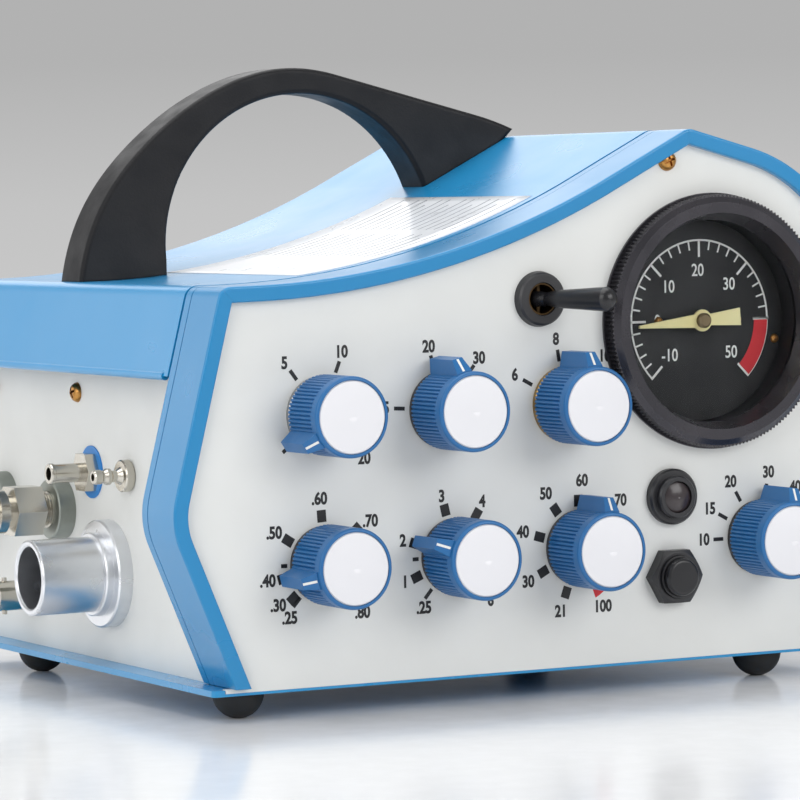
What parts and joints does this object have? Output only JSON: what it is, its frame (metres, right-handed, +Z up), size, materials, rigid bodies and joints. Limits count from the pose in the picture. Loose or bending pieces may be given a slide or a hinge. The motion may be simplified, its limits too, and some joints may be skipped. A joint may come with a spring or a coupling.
{
  "type": "ventilator",
  "caption": "Portable pneumatic ventilator: blue-trimmed steel case with a carry handle, rotary dials, a round pressure gauge, a mode toggle and gas ports on its left side.",
  "frame": {"origin": "under the middle of the whole object's bounding box, on the surface that its feet stand on", "axes": "+X to the right as seen from the front, +Y to the back, +Z up; the control fascia faces -Y"},
  "size_m": [0.2402, 0.2008, 0.1836],
  "materials": {
    "panel_white": "satin powder coat",
    "trim_blue": "satin powder coat",
    "cover_blue": "satin powder coat",
    "handle_black": "matte",
    "rubber_black": "matte",
    "brass_screw": "bright",
    "steel": "satin",
    "black_metal": "satin black",
    "gauge_glass": "clear",
    "dial_black": "matte",
    "pointer_cream": "matte",
    "pointer_boss": "satin",
    "grey_metal": "satin",
    "eye_dark": "gloss",
    "button_black": "semi-gloss",
    "anodised_aluminium": "satin turned",
    "nickel": "bright",
    "zinc": "passivated, satin",
    "knob_blue": "satin",
    "cap_white": "satin",
    "module_grey": "satin"
  },
  "bodies": {
    "case": {"front_panel": "panel_white", "side_panel_left": "panel_white", "side_panel_right": "panel_white", "rear_panel": "panel_white", "bezel_left": "trim_blue", "bezel_top": "trim_blue", "bezel_right": "trim_blue", "top_cover": "cover_blue", "base_tray": "cover_blue", "carry_handle": "handle_black", "rubber_feet": "rubber_black", "brass_screws": "brass_screw", "handle_screws": "steel", "gauge_case": "black_metal", "gauge_ring": "black_metal", "gauge_lens": "gauge_glass", "gauge_dial": "dial_black", "gauge_movement": "steel", "valve_nuts_metal": "grey_metal", "valve_nuts_black": "black_metal", "control_valves": "steel", "toggle_collar": "black_metal", "toggle_valve": "brass_screw", "alarm_ring": "black_metal", "alarm_eye": "eye_dark", "reset_nut": "black_metal", "reset_valve": "black_metal", "patient_connector": "anodised_aluminium", "expiratory_port": "nickel", "pressure_port": "nickel", "inlet_flanges": "zinc", "inlet_fittings": "nickel", "alarm_jack": "nickel", "pneumatic_module": "module_grey", "gas_regulator": "module_grey"},
    "pointer": {"gauge_pointer": "pointer_cream", "gauge_spindle": "pointer_boss"},
    "toggle": {"toggle_lever": "black_metal"},
    "reset": {"reset_button": "button_black"},
    "dial_peep": {"knob_peep": "knob_blue", "cap_peep": "cap_white", "spindle_peep": "steel"},
    "dial_pressure": {"knob_pressure": "knob_blue", "cap_pressure": "cap_white", "spindle_pressure": "steel"},
    "dial_flow": {"knob_flow": "knob_blue", "cap_flow": "cap_white", "spindle_flow": "steel"},
    "dial_inspiration_time": {"knob_inspiration_time": "knob_blue", "cap_inspiration_time": "cap_white", "spindle_inspiration_time": "steel"},
    "dial_expiration_time": {"knob_expiration_time": "knob_blue", "cap_expiration_time": "cap_white", "spindle_expiration_time": "steel"},
    "dial_oxygen_blend": {"knob_oxygen_blend": "knob_blue", "cap_oxygen_blend": "cap_white", "spindle_oxygen_blend": "steel"},
    "dial_alarm_limit": {"knob_alarm_limit": "knob_blue", "cap_alarm_limit": "cap_white", "spindle_alarm_limit": "steel"}
  },
  "joints": [
    {"name": "peep_turn", "type": "hinge", "parent": "case", "child": "dial_peep", "pos_m": [-0.06495, -0.07658, 0.084], "axis": [0, 1, 0], "range_deg": [-8, 262]},
    {"name": "pressure_turn", "type": "hinge", "parent": "case", "child": "dial_pressure", "pos_m": [-0.02625, -0.07658, 0.084], "axis": [0, 1, 0], "range_deg": [-121, 149]},
    {"name": "flow_turn", "type": "hinge", "parent": "case", "child": "dial_flow", "pos_m": [0.01375, -0.07658, 0.084], "axis": [0, 1, 0], "range_deg": [-96, 114]},
    {"name": "inspiration_time_turn", "type": "hinge", "parent": "case", "child": "dial_inspiration_time", "pos_m": [-0.06455, -0.07658, 0.0423], "axis": [0, 1, 0], "range_deg": [-35, 245]},
    {"name": "expiration_time_turn", "type": "hinge", "parent": "case", "child": "dial_expiration_time", "pos_m": [-0.02315, -0.07658, 0.0423], "axis": [0, 1, 0], "range_deg": [-69, 209]},
    {"name": "oxygen_blend_turn", "type": "hinge", "parent": "case", "child": "dial_oxygen_blend", "pos_m": [0.01755, -0.07658, 0.0425], "axis": [0, 1, 0], "range_deg": [-165, 156]},
    {"name": "alarm_limit_turn", "type": "hinge", "parent": "case", "child": "dial_alarm_limit", "pos_m": [0.07925, -0.07658, 0.0423], "axis": [0, 1, 0], "range_deg": [-119, 133]},
    {"name": "gauge_needle", "type": "hinge", "parent": "case", "child": "pointer", "pos_m": [0.06385, -0.07158, 0.1064], "axis": [0, 1, 0], "range_deg": [-41, 228], "stiffness_Nm_per_rad": 0.0004},
    {"name": "mode_toggle", "type": "hinge", "parent": "case", "child": "toggle", "pos_m": [0.00535, -0.07608, 0.1143], "axis": [0, 0, 1], "range_deg": [-50, 0]},
    {"name": "reset_press", "type": "slide", "parent": "case", "child": "reset", "axis": [0, 1, 0], "range_m": [0, 0.003], "stiffness_N_per_m": 300, "springref_m": -0.002}
  ]
}
